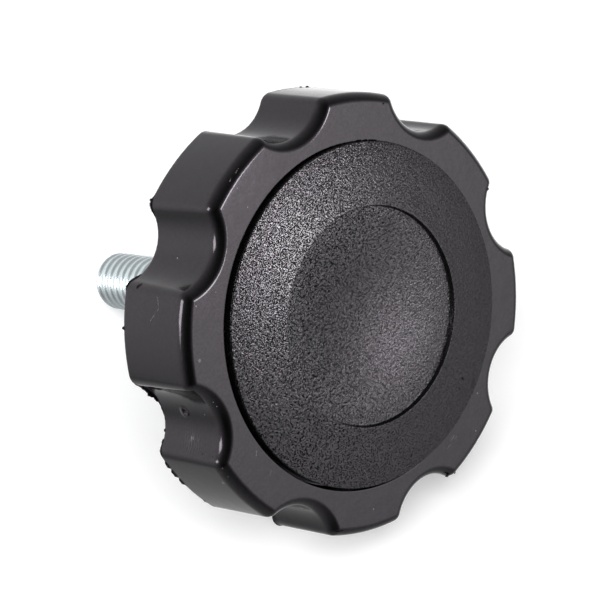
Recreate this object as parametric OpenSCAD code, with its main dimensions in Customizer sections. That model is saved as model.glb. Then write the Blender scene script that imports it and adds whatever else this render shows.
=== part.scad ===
// Star knob with a covered front and a threaded stud.
// The knob is drawn about its own axis: seat of the hub at z = 0, face at +Z, stud along -Z.
// It is then laid down as it comes to rest, on two lobes and the end of its stud.

/* [Star] */
// Diameter over the lobes
knob_d = 55; // [50:1:62]
// Depth of the rim, from its back edge to the face
rim_depth = 11.2; // [10.4:0.2:14]
// Draft of the walls, which come in towards the face
draft = 2.8; // [0.5:0.1:4]
// Number of lobes, and of scallops between them
lobes = 8; // [6:1:9]
// Radius of each scallop
scallop_r = 5.5; // [4.5:0.1:6.5]
// Depth of each scallop below the lobes
scallop_depth = 3.05; // [2:0.05:3.4]
// Radius of the rounded front edge
edge_r = 1.7; // [1:0.1:2.2]
// Angle that the front edge turns to before the flat face cuts it
edge_turn = 69; // [50:1:80]
// Radius of the corner between a lobe and a scallop, where it meets the face
corner_face_r = 0.25; // [0.1:0.05:0.6]

/* [Back] */
// Thickness of the rim's wall round the hollow back
wall = 2.6; // [2:0.1:3]
// Depth of the hollow back
hollow_depth = 3.6; // [2:0.1:3.8]
// Width of each rib from the hub to a scallop
rib_w = 2; // [1.4:0.1:3]
// Thickness of the web between the hollow back and the space under the cap
web = 2.4; // [1.8:0.1:2.8]
// Diameter of the hub
hub_d = 20; // [18.4:0.2:24]
// How far the hub's seat stands out behind the rim
hub_proud = 2; // [0.5:0.1:3]

/* [Cover cap] */
// Diameter of the cap
cap_d = 42; // [38:0.2:43]
// Gap all round between the cap and its recess
cap_gap = 0.3; // [0.1:0.05:0.5]
// Height of the cap's edge above the face
cap_rise = 0.7; // [0.3:0.1:1]
// Diameter of the crest
crest_d = 26.9; // [22:0.1:32]
// Height of the crest above the face
crest_rise = 1.6; // [1.2:0.1:2.2]
// Height of the step from the crest down to the dish
dish_step = 0.6; // [0.3:0.1:0.8]
// Width of the step
step_run = 0.15; // [0.05:0.05:0.4]
// Depth of the dish below its edge
dish_sag = 1; // [0.4:0.1:1.2]
// Thickness of the cap's top
cap_t = 1.6; // [1.2:0.1:1.8]
// Thickness of the cap's skirt
skirt_t = 1.6; // [1.2:0.1:2]
// Depth of the ledge that the cap sits on, below the face
ledge_depth = 2.6; // [2.2:0.1:3]
// Width of the ledge
ledge_w = 2.2; // [1.6:0.1:2.6]

/* [Stud] */
// Diameter over the thread
stud_d = 7.94; // [6:0.01:8.6]
// Length of the stud behind the hub's seat
stud_reach = 40; // [25:1:60]
// Chamfer at the end of the stud
stud_chamfer = 1; // [0.4:0.1:1.5]
// Diameter of the neck in the hub, where there is no thread
neck_d = 7.1; // [5:0.1:7.4]
// Gap between the hub's seat and the start of the thread
thread_gap = 0.3; // [0.1:0.1:0.4]
// Width of the head across its flats
head_af = 12.7; // [10:0.1:13]
// Height of the head
head_h = 5.3; // [4:0.1:5.6]
// Thickness of the hub's floor under the head
hub_floor = 4.4; // [3:0.1:4.8]
// Gap between the head and its pocket
head_gap = 0.15; // [0.05:0.05:0.3]
// Gap between the stud and its hole
bore_gap = 0.15; // [0.05:0.05:0.3]

/* [Hidden] */
$fn = 96;
over = 1;
hexagon = 6;

knob_r = knob_d / 2;
hub_r = hub_d / 2;
cap_r = cap_d / 2;
crest_r = crest_d / 2;
stud_r = stud_d / 2;
neck_r = neck_d / 2;
pitch_angle = 360 / lobes;

// Heights along the knob's own axis
rim_back = hub_proud;
face_z = rim_back + rim_depth;
hollow_top = rim_back + hollow_depth;
cavity_z = hollow_top + web;
ledge_z = face_z - ledge_depth;
head_top = hub_floor + head_h;
thread_top = -thread_gap;
runout_top = thread_top + stud_r - neck_r;
stud_end = -stud_reach;

// Walls: how far they have come in at the arc's centre, at its start and at the face
arc_z = face_z - edge_r * sin(edge_turn);
arc_in = (arc_z - rim_back) * tan(draft) + edge_r / cos(draft);
start_z = arc_z + edge_r * sin(draft);
start_in = arc_in - edge_r * cos(draft);
face_in = arc_in - edge_r * cos(edge_turn);
walls_low = rim_back - 2 * over;
walls_high = face_z + 2 * over;

// Scallops: the lowest one is at the bottom, so that the knob rests on two lobes
first_scallop = -90;
scallop_centre = knob_r - scallop_depth + scallop_r;
corner_r = corner_face_r + face_in;
to_corner = knob_r - corner_r;
to_scallop = scallop_r + corner_r;
corner_x = (pow(to_corner, 2) + pow(scallop_centre, 2) - pow(to_scallop, 2)) / (2 * scallop_centre);
corner_y = sqrt(pow(to_corner, 2) - pow(corner_x, 2));
corner_reach = 3 * corner_r;
// The corner's round stands this far out of tangency, for a clean cut
corner_lift = 0.02;

// Cap
recess_r = cap_r + cap_gap;
ledge_r = recess_r - ledge_w;
cap_edge_z = face_z + cap_rise;
crest_z = face_z + crest_rise;
dish_edge_r = crest_r - step_run;
dish_edge_z = crest_z - dish_step;
dish_r = (pow(dish_edge_r, 2) + pow(dish_sag, 2)) / (2 * dish_sag);

// Resting pose: the rim's back edge and the stud touch the ground together
rest_r = corner_x + corner_r;
lean = atan2(rest_r - stud_r, rim_back - (stud_end + stud_chamfer));

module as_it_lies() {
  rotate([90 - lean, 0, 0]) children();
}

module at_each_scallop() {
  for (i = [0 : lobes - 1]) rotate(first_scallop + i * pitch_angle) children();
}

// Half section inside a wall that has radius r at the back: drafted, then turned over at the front edge
module wall_section(r) {
  intersection() {
    translate([0, walls_low]) square([2 * r, walls_high - walls_low]);
    union() {
      polygon([
        [0, walls_low],
        [r + (rim_back - walls_low) * tan(draft), walls_low],
        [r - start_in, start_z],
        [0, start_z]
      ]);
      translate([r - arc_in, arc_z]) circle(edge_r);
      square([r - face_in, walls_high]);
    }
  }
}

module rim_section() {
  intersection() {
    wall_section(knob_r);
    translate([0, rim_back]) square([knob_r, rim_depth]);
  }
}

// Half section of a scallop's cutter, which widens by the draft and flares round the front edge
module scallop_section() {
  polygon([
    [0, walls_low],
    [scallop_r - (rim_back - walls_low) * tan(draft), walls_low],
    [scallop_r + start_in, start_z],
    [0, start_z]
  ]);
  difference() {
    translate([0, start_z]) square([scallop_r + arc_in, walls_high - start_z]);
    translate([scallop_r + arc_in, arc_z]) circle(edge_r);
  }
}

// Outside of one rounded corner, between a lobe and a scallop
module corner_cutter() {
  centre = [corner_x, corner_y] * (1 + corner_lift / to_corner);
  lobe_way = centre / norm(centre);
  scallop_way = ([scallop_centre, 0] - centre) / norm([scallop_centre, 0] - centre);
  middle_way = (lobe_way + scallop_way) / norm(lobe_way + scallop_way);
  difference() {
    translate([0, 0, rim_back - over]) linear_extrude(rim_depth + 2 * over) polygon([
      centre,
      centre + corner_reach * scallop_way,
      centre + corner_reach * middle_way,
      centre + corner_reach * lobe_way
    ]);
    translate([centre.x, centre.y, 0]) rotate_extrude() wall_section(corner_r);
  }
}

module scallop_cutter() {
  translate([scallop_centre, 0, 0]) rotate_extrude() scallop_section();
  corner_cutter();
  mirror([0, 1, 0]) corner_cutter();
}

// Pockets of the hollow back: the star drawn in by the wall, less the hub and the ribs
module pocket_section() {
  difference() {
    circle(knob_r - wall);
    circle(hub_r);
    at_each_scallop() {
      translate([scallop_centre, 0]) circle(scallop_r + wall);
      translate([0, -rib_w / 2]) square([knob_r, rib_w]);
    }
  }
}

// Space under the cap, round the hub
module cavity() {
  difference() {
    translate([0, 0, cavity_z]) cylinder(h = face_z - cavity_z, r = ledge_r);
    cylinder(h = head_top, r = hub_r);
  }
}

module hex_prism(across_flats, height) {
  cylinder(h = height, d = across_flats / cos(180 / hexagon), $fn = hexagon);
}

module knob_body() {
  color("#2a2a2d") as_it_lies() difference() {
    union() {
      rotate_extrude() rim_section();
      cylinder(h = head_top, r = hub_r);
    }
    at_each_scallop() scallop_cutter();
    translate([0, 0, rim_back - over]) linear_extrude(hollow_depth + over) pocket_section();
    translate([0, 0, ledge_z]) cylinder(h = ledge_depth + over, r = recess_r);
    cavity();
    translate([0, 0, hub_floor]) hex_prism(head_af + 2 * head_gap, head_h + over);
    translate([0, 0, -over]) cylinder(h = hub_floor + 2 * over, r = stud_r + bore_gap);
  }
}

// Half section of the cap, from its skirt over the crest to the dish
module cap_section() {
  skirt_r = cap_r - skirt_t;
  difference() {
    polygon([
      [0, ledge_z],
      [cap_r, ledge_z],
      [cap_r, cap_edge_z],
      [crest_r, crest_z],
      [dish_edge_r, dish_edge_z],
      [0, dish_edge_z]
    ]);
    intersection() {
      translate([0, dish_edge_z - dish_sag + dish_r]) circle(dish_r, $fn = 720);
      translate([0, dish_edge_z - dish_sag]) square([dish_edge_r, dish_sag + over]);
    }
    polygon([
      [0, ledge_z - over],
      [skirt_r, ledge_z - over],
      [skirt_r, cap_edge_z - cap_t],
      [dish_edge_r, dish_edge_z - cap_t],
      [0, dish_edge_z - dish_sag - cap_t]
    ]);
  }
}

module cover_cap() {
  color("#303033") as_it_lies() rotate_extrude() cap_section();
}

// Half section of the stud: neck, thread run-out, thread and chamfered end
module stud_section() {
  polygon([
    [0, hub_floor],
    [neck_r, hub_floor],
    [neck_r, runout_top],
    [stud_r, thread_top],
    [stud_r, stud_end + stud_chamfer],
    [stud_r - stud_chamfer, stud_end],
    [0, stud_end]
  ]);
}

module stud() {
  color("#b9c0c6") as_it_lies() {
    translate([0, 0, hub_floor]) hex_prism(head_af, head_h);
    rotate_extrude() stud_section();
  }
}

knob_body();
cover_cap();
stud();
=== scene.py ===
"""Looks of a star knob: a black scalloped rim, a grained cover cap and a zinc-plated threaded stud.

Sizes are in millimetres on the knob's own axes: the hub's seat is at z = 0, the face looks along
+z and the stud runs along -z. Knob.place turns points to the row's frame, in metres.
"""

from __future__ import annotations

import logging
import math
from dataclasses import dataclass
from enum import Enum
from typing import Sequence

import bpy
import numpy as np
from mathutils import Matrix, Vector

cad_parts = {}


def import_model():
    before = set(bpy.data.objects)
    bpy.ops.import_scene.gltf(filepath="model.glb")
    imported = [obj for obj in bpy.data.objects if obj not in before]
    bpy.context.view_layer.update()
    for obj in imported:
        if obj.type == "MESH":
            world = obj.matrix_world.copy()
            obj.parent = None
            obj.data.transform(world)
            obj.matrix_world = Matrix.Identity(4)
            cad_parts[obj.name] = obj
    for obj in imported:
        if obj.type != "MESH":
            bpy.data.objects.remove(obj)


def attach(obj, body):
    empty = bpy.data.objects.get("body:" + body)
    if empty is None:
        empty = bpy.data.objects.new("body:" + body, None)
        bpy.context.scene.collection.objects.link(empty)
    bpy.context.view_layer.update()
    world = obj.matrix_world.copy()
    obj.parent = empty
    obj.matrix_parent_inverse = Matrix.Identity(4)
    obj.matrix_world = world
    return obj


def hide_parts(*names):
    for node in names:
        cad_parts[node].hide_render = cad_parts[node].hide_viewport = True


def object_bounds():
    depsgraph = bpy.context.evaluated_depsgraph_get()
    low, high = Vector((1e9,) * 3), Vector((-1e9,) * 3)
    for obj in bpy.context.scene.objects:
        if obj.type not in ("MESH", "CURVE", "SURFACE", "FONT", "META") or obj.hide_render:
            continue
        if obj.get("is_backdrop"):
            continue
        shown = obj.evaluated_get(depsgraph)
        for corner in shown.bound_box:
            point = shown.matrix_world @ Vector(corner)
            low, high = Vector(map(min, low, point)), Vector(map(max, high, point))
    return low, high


LOG = logging.getLogger("star_knob")
MM = 0.001
FULL_TURN = 2 * math.pi
# Most of a noise texture's values lie in this range.
NOISE_RANGE = (0.35, 0.65)
# A round takes up at most this share of a path's leg.
ROUND_SHARE = 0.45
# Sockets of a Mix node that blends colours.
MIX_FIRST, MIX_SECOND, MIX_RESULT = 6, 7, 2
Object, Material = bpy.types.Object, bpy.types.Material
Node, NodeTree, Socket = bpy.types.Node, bpy.types.NodeTree, bpy.types.NodeSocket
Pair = tuple[float, float]
Place = tuple[float, float, float]
Colour = tuple[float, float, float]


class Slot(Enum):
    """Material slots of the record."""

    BODY = "body"
    CAP = "cap"
    STUD = "stud"


@dataclass(frozen=True)
class Knob:
    """Sizes that more than one piece uses."""

    lobe_r: float = 27.5
    rim_back: float = 2.0
    face_z: float = 13.2
    draft: float = math.radians(2.8)
    lobes: int = 8
    scallop_r: float = 5.5
    scallop_depth: float = 3.05
    edge_r: float = 1.7
    edge_turn: float = math.radians(69.0)
    corner_face_r: float = 0.25
    hollow_top: float = 5.6
    hub_r: float = 10.0
    recess_r: float = 21.3
    ledge_z: float = 10.6
    head_top: float = 9.7
    stud_r: float = 3.97
    stud_end: float = -40.0
    stud_chamfer: float = 1.0
    first_scallop: float = math.radians(-90.0)

    @property
    def arc_z(self) -> float:
        """Height of the centre of the rounded front edge."""
        return self.face_z - self.edge_r * math.sin(self.edge_turn)

    @property
    def arc_in(self) -> float:
        """Inset of the centre of the rounded front edge."""
        return (self.arc_z - self.rim_back) * math.tan(self.draft) + self.edge_r / math.cos(self.draft)

    @property
    def face_in(self) -> float:
        """Inset of the crease where the rounded edge meets the face."""
        return self.arc_in - self.edge_r * math.cos(self.edge_turn)

    @property
    def scallop_centre(self) -> float:
        """Distance of a scallop's axis from the knob's axis."""
        return self.lobe_r - self.scallop_depth + self.scallop_r

    @property
    def corner_r(self) -> float:
        """Radius of the corner between a lobe and a scallop, at the back."""
        return self.corner_face_r + self.face_in

    @property
    def corner(self) -> Pair:
        """Centre of that corner, where circles about the knob's axis and the scallop's axis meet.

        Returns:
            Its x and y, for a scallop on the x axis.
        """
        near, far = self.lobe_r - self.corner_r, self.scallop_r + self.corner_r
        x = (near**2 + self.scallop_centre**2 - far**2) / (2 * self.scallop_centre)
        return x, math.sqrt(near**2 - x**2)

    @property
    def lean(self) -> float:
        """Slope of the axis when the knob rests on two lobes and the end of its stud."""
        rest_r = self.corner[0] + self.corner_r
        return math.atan2(rest_r - self.stud_r, self.rim_back - self.stud_end - self.stud_chamfer)

    def place(self, points: np.ndarray) -> np.ndarray:
        """Turns points from the knob's axes to the row's frame.

        Args:
            points: points in millimetres, with x, y, z last.

        Returns:
            The points in metres, turned about x by a right angle less the lean.
        """
        c, s = math.sin(self.lean), math.cos(self.lean)
        x, y, z = np.moveaxis(np.asarray(points, float), -1, 0)
        return np.stack([x, c * y - s * z, s * y + c * z], -1) * MM


@dataclass
class Patch:
    """A grid of points that becomes part of a mesh.

    Attributes:
        points: rows, columns, 3.
        wraps: the last column joins the first.
        flipped: the faces look the other way.
        last_pole: the last row is one point.
        first_pole: the first row is one point.
    """

    points: np.ndarray
    wraps: bool = True
    flipped: bool = False
    last_pole: bool = False
    first_pole: bool = False

    def arrays(self, start: int) -> tuple[np.ndarray, np.ndarray, np.ndarray]:
        """Gives the patch's vertices and faces.

        A quad joins point (r, c) with its neighbours along the row and the column. A row that is one
        point becomes a single vertex with a fan of triangles.

        Args:
            start: number of vertices that are in the mesh already.

        Returns:
            Vertices, loop vertex numbers and the number of loops of each face.
        """
        rows, cols, _ = self.points.shape
        first, last = (1 if self.first_pole else 0), (rows - 1 if self.last_pole else rows)
        body = self.points[first:last].reshape(-1, 3)
        c = np.arange(cols if self.wraps else cols - 1)
        d = (c + 1) % cols
        r = np.arange(last - first - 1)[:, None] * cols
        quads = np.stack([r + c, r + d, r + d + cols, r + c + cols], -1).reshape(-1, 4)
        verts, fans = [body], []
        count = len(body)
        for pole, row in ((self.first_pole, 0), (self.last_pole, rows - 1)):
            if pole:
                verts.append(self.points[row, :1])
                edge = 0 if row == 0 else (last - first - 1) * cols
                tip = np.full(len(c), count)
                fan = [tip, edge + d, edge + c] if row == 0 else [edge + c, edge + d, tip]
                fans.append(np.stack(fan, -1))
                count += 1
        tris = np.concatenate(fans) if fans else np.zeros((0, 3), int)
        if self.flipped:
            quads, tris = quads[:, ::-1], tris[:, ::-1]
        loops = np.concatenate([quads.ravel(), tris.ravel()]) + start
        sizes = np.concatenate([np.full(len(quads), 4), np.full(len(tris), 3)])
        return np.concatenate(verts), loops, sizes


def make_object(name: str, patches: Sequence[Patch], knob: Knob) -> Object:
    """Puts patches into one smooth mesh object at the origin.

    Args:
        name: the object's name.
        patches: patches in millimetres, on the knob's axes.
        knob: gives the place in the row's frame.

    Returns:
        The object, linked to the scene.
    """
    verts, loops, sizes, count = [], [], [], 0
    for patch in patches:
        points, corners, sides = patch.arrays(count)
        verts.append(knob.place(points))
        loops.append(corners)
        sizes.append(sides)
        count += len(points)
    co, loop, size = np.concatenate(verts), np.concatenate(loops), np.concatenate(sizes)
    starts = np.concatenate([[0], np.cumsum(size)[:-1]])
    mesh = bpy.data.meshes.new(name)
    mesh.vertices.add(len(co))
    mesh.vertices.foreach_set("co", co.astype(np.float32).ravel())
    mesh.loops.add(len(loop))
    mesh.loops.foreach_set("vertex_index", loop.astype(np.int32))
    mesh.polygons.add(len(size))
    mesh.polygons.foreach_set("loop_start", starts.astype(np.int32))
    mesh.polygons.foreach_set("use_smooth", np.ones(len(size), bool))
    mesh.update(calc_edges=True)
    mesh.validate()
    piece = bpy.data.objects.new(name, mesh)
    bpy.context.scene.collection.objects.link(piece)
    LOG.info("%s: %d vertices, %d faces", name, len(co), len(size))
    return piece


def eased(a: Sequence[float], corner: Sequence[float], b: Sequence[float], steps: int) -> np.ndarray:
    """Points of a small round from a to b: a quadratic curve pulled to the corner, without its ends.

    Args:
        a: radius and height of the round's start.
        corner: radius and height of the corner that it cuts.
        b: radius and height of its end.
        steps: number of points.

    Returns:
        Points, two numbers each.
    """
    t = np.linspace(0, 1, steps + 2)[1:-1, None]
    a, corner, b = (np.asarray(p, float) for p in (a, corner, b))
    return (1 - t) ** 2 * a + 2 * t * (1 - t) * corner + t**2 * b


def rounded_path(corners: Sequence[Sequence[float]], round_r: float, steps: int = 4) -> np.ndarray:
    """A polyline whose inner corners are eased by round_r, or less where a leg is short.

    Args:
        corners: radius and height of each corner.
        round_r: distance from a corner at which its round starts.
        steps: points inside each round.

    Returns:
        Points, two numbers each.
    """
    p = np.asarray(corners, float)
    out = [p[:1]]
    for a, b, c in zip(p[:-2], p[1:-1], p[2:]):
        back, on = a - b, c - b
        r = min(round_r, ROUND_SHARE * np.linalg.norm(back), ROUND_SHARE * np.linalg.norm(on))
        start, end = b + back / np.linalg.norm(back) * r, b + on / np.linalg.norm(on) * r
        out += [start[None], eased(start, b, end, steps), end[None]]
    return np.concatenate(out + [p[-1:]])


def swept(radius: np.ndarray, height: np.ndarray, angles: np.ndarray) -> np.ndarray:
    """Points (r cos a, r sin a, z) of a surface round the axis.

    Args:
        radius: rows, and columns where the radius changes round the axis.
        height: the same for the height.
        angles: one angle for each column.

    Returns:
        Rows, columns, 3.
    """
    x = radius * np.cos(angles)
    return np.stack([x, radius * np.sin(angles), height + 0 * x], -1)


def revolved(path: np.ndarray, angles: np.ndarray) -> np.ndarray:
    """Carries a path of radius and height round the axis."""
    return swept(path[:, :1], path[:, 1:], angles)


def degrees_off(angle: np.ndarray, middle: float) -> np.ndarray:
    """Turn from a middle angle to each angle, in degrees from -180 to 180."""
    return (angle - middle + 180.0) % 360.0 - 180.0


@dataclass
class StarRim:
    """The rim: drafted lobes and scallops, a rounded front edge, the flat face and the cap's recess."""

    knob: Knob
    land_steps: int = 9
    corner_steps: int = 9
    scallop_steps: int = 14
    back_rows: int = 5
    wall_rows: int = 30
    edge_rows: int = 16
    crease_rows: int = 9
    face_rows: int = 9
    back_insets: Pair = (0.5, 0.3)
    back_round: float = 0.1
    crease: float = 0.22
    least_corner_r: float = 0.02
    recess_soft: float = 0.22
    well_round: float = 0.25
    ledge_r: float = 19.1
    cavity_z: float = 8.0
    bore_r: float = 4.12
    hub_lap: float = 0.3
    lip: float = 0.17
    lip_at: float = 66.0
    lip_width: float = 17.0
    lip_ripple: float = 0.2
    lip_waves: float = 2.1
    lip_foot: float = 0.5
    touching: float = 0.01

    def outline(self, inset: np.ndarray) -> np.ndarray:
        """The star's outline, drawn in by an inset.

        A lobe is an arc of radius lobe_r - e about the axis, a scallop an arc of radius scallop_r + e
        about its own centre, and the corner between them an arc of radius corner_r - e, so all three
        stay tangent at every inset e.

        Args:
            inset: one inset for each row.

        Returns:
            Rows, columns, 2; the columns go round anticlockwise.
        """
        k = self.knob
        e = np.asarray(inset, float)[:, None]
        x0, y0 = k.corner
        half_pitch = math.pi / k.lobes
        to_lobe, to_scallop = math.atan2(y0, x0), math.atan2(-y0, k.scallop_centre - x0)
        land = np.linspace(half_pitch, to_lobe, self.land_steps, endpoint=False)
        turn = np.linspace(to_lobe, to_scallop, self.corner_steps, endpoint=False)
        dip = np.linspace(to_scallop + math.pi, math.pi, self.scallop_steps)
        lobe_r, dip_r = k.lobe_r - e, k.scallop_r + e
        turn_r = np.maximum(k.corner_r - e, self.least_corner_r)
        lobe_arc = np.stack([lobe_r * np.cos(land), lobe_r * np.sin(land)], -1)
        corner_arc = np.stack([x0 + turn_r * np.cos(turn), y0 + turn_r * np.sin(turn)], -1)
        scallop_arc = np.stack([k.scallop_centre + dip_r * np.cos(dip), dip_r * np.sin(dip)], -1)
        half = np.concatenate([lobe_arc, corner_arc, scallop_arc], 1)
        sector = np.concatenate([half * [1, -1], half[:, -2:0:-1]], 1)
        a = k.first_scallop + 2 * half_pitch * np.arange(k.lobes)
        spin = np.stack([np.stack([np.cos(a), -np.sin(a)], -1), np.stack([np.sin(a), np.cos(a)], -1)], 1)
        return np.einsum("kij,vuj->vkui", spin, sector).reshape(len(e), -1, 2)

    def side_rows(self) -> np.ndarray:
        """Rows of the side: the back edge's small round, the drafted wall, the front edge's arc, the crease.

        Returns:
            Inset and height of each row, from the back to the face.
        """
        k, b = self.knob, self.back_round
        start = np.array([[inset, k.rim_back] for inset in self.back_insets])
        a = np.linspace(0, math.pi / 2, self.back_rows)
        back = np.stack([b * (1 - np.sin(a)), k.rim_back + b * (1 - np.cos(a))], -1)
        z = np.linspace(k.rim_back + b, k.arc_z + k.edge_r * math.sin(k.draft), self.wall_rows)[1:]
        wall = np.stack([(z - k.rim_back) * math.tan(k.draft), z], -1)
        a = np.linspace(k.draft, k.edge_turn - self.crease / k.edge_r, self.edge_rows)[1:]
        edge = np.stack([k.arc_in - k.edge_r * np.cos(a), k.arc_z + k.edge_r * np.sin(a)], -1)
        last = [k.face_in + self.crease, k.face_z]
        crease = eased(edge[-1], [k.face_in, k.face_z], last, self.crease_rows)
        return np.concatenate([start, back, wall, edge, crease, [last]])

    def well(self, angle: np.ndarray) -> np.ndarray:
        """The recess, the space under the cap and the hub, turned from a path.

        At the top of the recess a lip stands in by lip x exp(-(d / lip_width)^2), with a ripple along
        it; d is the distance from lip_at in degrees.

        Args:
            angle: angle of each column, in radians.

        Returns:
            Rows, columns, 3.
        """
        k = self.knob
        corners = [
            [k.recess_r + self.recess_soft, k.face_z],
            [k.recess_r, k.face_z],
            [k.recess_r, k.ledge_z],
            [self.ledge_r, k.ledge_z],
            [self.ledge_r, self.cavity_z],
            [k.hub_r, self.cavity_z],
            [k.hub_r, k.head_top],
            [self.bore_r, k.head_top],
            [self.bore_r, 0.0],
            [k.hub_r, 0.0],
            [k.hub_r, k.hollow_top + self.hub_lap],
        ]
        path = rounded_path(corners, self.well_round)
        r, z = path[:, :1], path[:, 1:]
        off = degrees_off(np.degrees(angle), self.lip_at)
        ripple = 1.0 - self.lip_ripple + self.lip_ripple * np.sin(self.lip_waves * off)
        lip = self.lip * np.exp(-((off / self.lip_width) ** 2)) * ripple
        at_mouth = (r > k.recess_r - self.touching) & (z > k.ledge_z + self.lip_foot)
        return swept(r - at_mouth * lip, z, angle)

    def shell(self) -> Patch:
        """The rim's whole skin in one grid.

        It runs from the back edge over the side, across the face along straight lines from the star to
        the recess, and down the recess to the hub.

        Returns:
            The skin; its columns follow the star's.
        """
        k = self.knob
        rows = self.side_rows()
        star = self.outline(rows[:, 0])
        side = np.concatenate([star, np.broadcast_to(rows[:, None, 1:], star.shape[:2] + (1,))], -1)
        angle = np.unwrap(np.arctan2(star[-1, :, 1], star[-1, :, 0]))
        mouth = revolved(np.array([[k.recess_r + self.recess_soft, k.face_z]]), angle)
        t = np.linspace(0, 1, self.face_rows)[1:-1, None, None]
        face = (1 - t) * side[-1:] + t * mouth
        return Patch(np.concatenate([side, face, self.well(angle)]))


@dataclass
class HollowBack:
    """The back of the rim: one pocket under each lobe, between ribs that run to the scallops."""

    knob: Knob
    wall: float = 2.6
    rib_w: float = 2.0
    middle: float = 17.0
    steps: int = 120
    soften: float = 0.9
    sharp: float = 1e-6
    seam: float = 0.42
    hub_lap: float = 0.8
    farthest: float = 16.0
    halvings: int = 40
    edge_out: float = 0.6
    wall_slope: float = 0.12
    floor_in: float = 1.2
    edge_round: float = 0.35
    round_steps: int = 5
    floor_rings: int = 5

    def _reach(self, level: np.ndarray, cell: bool) -> np.ndarray:
        """How far each ray from the pocket's middle goes, found by halving.

        A point is inside where every bound is below the level: the circle inside the rim's wall, the
        circles round both scallops, the ribs and the hub. The pocket's bounds are blended, so that its
        corners are round; the cell's are the star drawn in by the seam and the ribs' middle lines.

        Args:
            level: offset of each row from the bounds.
            cell: True for the whole cell, False for its pocket.

        Returns:
            Rows, columns.
        """
        k = self.knob
        way = np.linspace(0, FULL_TURN, self.steps, endpoint=False)
        half = math.pi / k.lobes
        scallop_x, scallop_y = k.scallop_centre * math.cos(half), k.scallop_centre * math.sin(half)
        wall, rib = (self.seam, 0.0) if cell else (self.wall, self.rib_w / 2)
        soft = self.sharp if cell else self.soften
        low = np.zeros((len(level), self.steps))
        high = low + self.farthest
        for _ in range(self.halvings):
            mid = (low + high) / 2
            x, y = self.middle + mid * np.cos(way), np.abs(mid * np.sin(way))
            r = np.hypot(x, y)
            bound = r - (k.lobe_r - wall)
            others = (
                k.scallop_r + wall - np.hypot(x - scallop_x, y - scallop_y),
                rib - (x * math.sin(half) - y * math.cos(half)),
                k.hub_r - self.hub_lap - r,
            )
            for other in others:
                bound = 0.5 * (bound + other + np.hypot(bound - other, soft))
            inside = bound < level[:, None]
            low, high = np.where(inside, mid, low), np.where(inside, high, mid)
        return low

    def cells(self) -> list[Patch]:
        """The cells of the back, each a grid of rays from its middle and rows down its pocket.

        Returns:
            One patch for each lobe: the back face, the pocket's edge, its sloping wall and its floor.
        """
        k = self.knob
        floor, back = k.hollow_top, k.rim_back
        corners = [[self.edge_out, back], [0.0, back], [-self.wall_slope, floor], [-self.floor_in, floor]]
        path = rounded_path(corners, self.edge_round, self.round_steps)
        pocket = self._reach(path[:, 0], False)
        rim = self._reach(np.zeros(1), True)
        inner = pocket[-1] * np.linspace(1, 0, self.floor_rings + 1)[1:, None]
        reach = np.concatenate([rim, pocket, inner])
        z = np.concatenate([[back], path[:, 1], np.full(self.floor_rings, floor)])[:, None]
        way = np.linspace(0, FULL_TURN, self.steps, endpoint=False)
        x, y = self.middle + reach * np.cos(way), reach * np.sin(way)
        out = []
        for i in range(k.lobes):
            a = k.first_scallop + (2 * i + 1) * math.pi / k.lobes
            c, s = math.cos(a), math.sin(a)
            turned = np.stack([x * c - y * s, x * s + y * c, z + 0 * x], -1)
            out.append(Patch(turned, flipped=True, last_pole=True))
        return out


@dataclass(frozen=True)
class Tag:
    """A torn scrap of flash: where it is round the back edge in degrees, its length and its reach."""

    angle: float
    length: float
    reach: float
    pointed: bool = False


@dataclass(frozen=True)
class Burr:
    """A small lump of plastic: its place on the knob's axes and its half sizes."""

    place: Place
    half: Place


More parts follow.
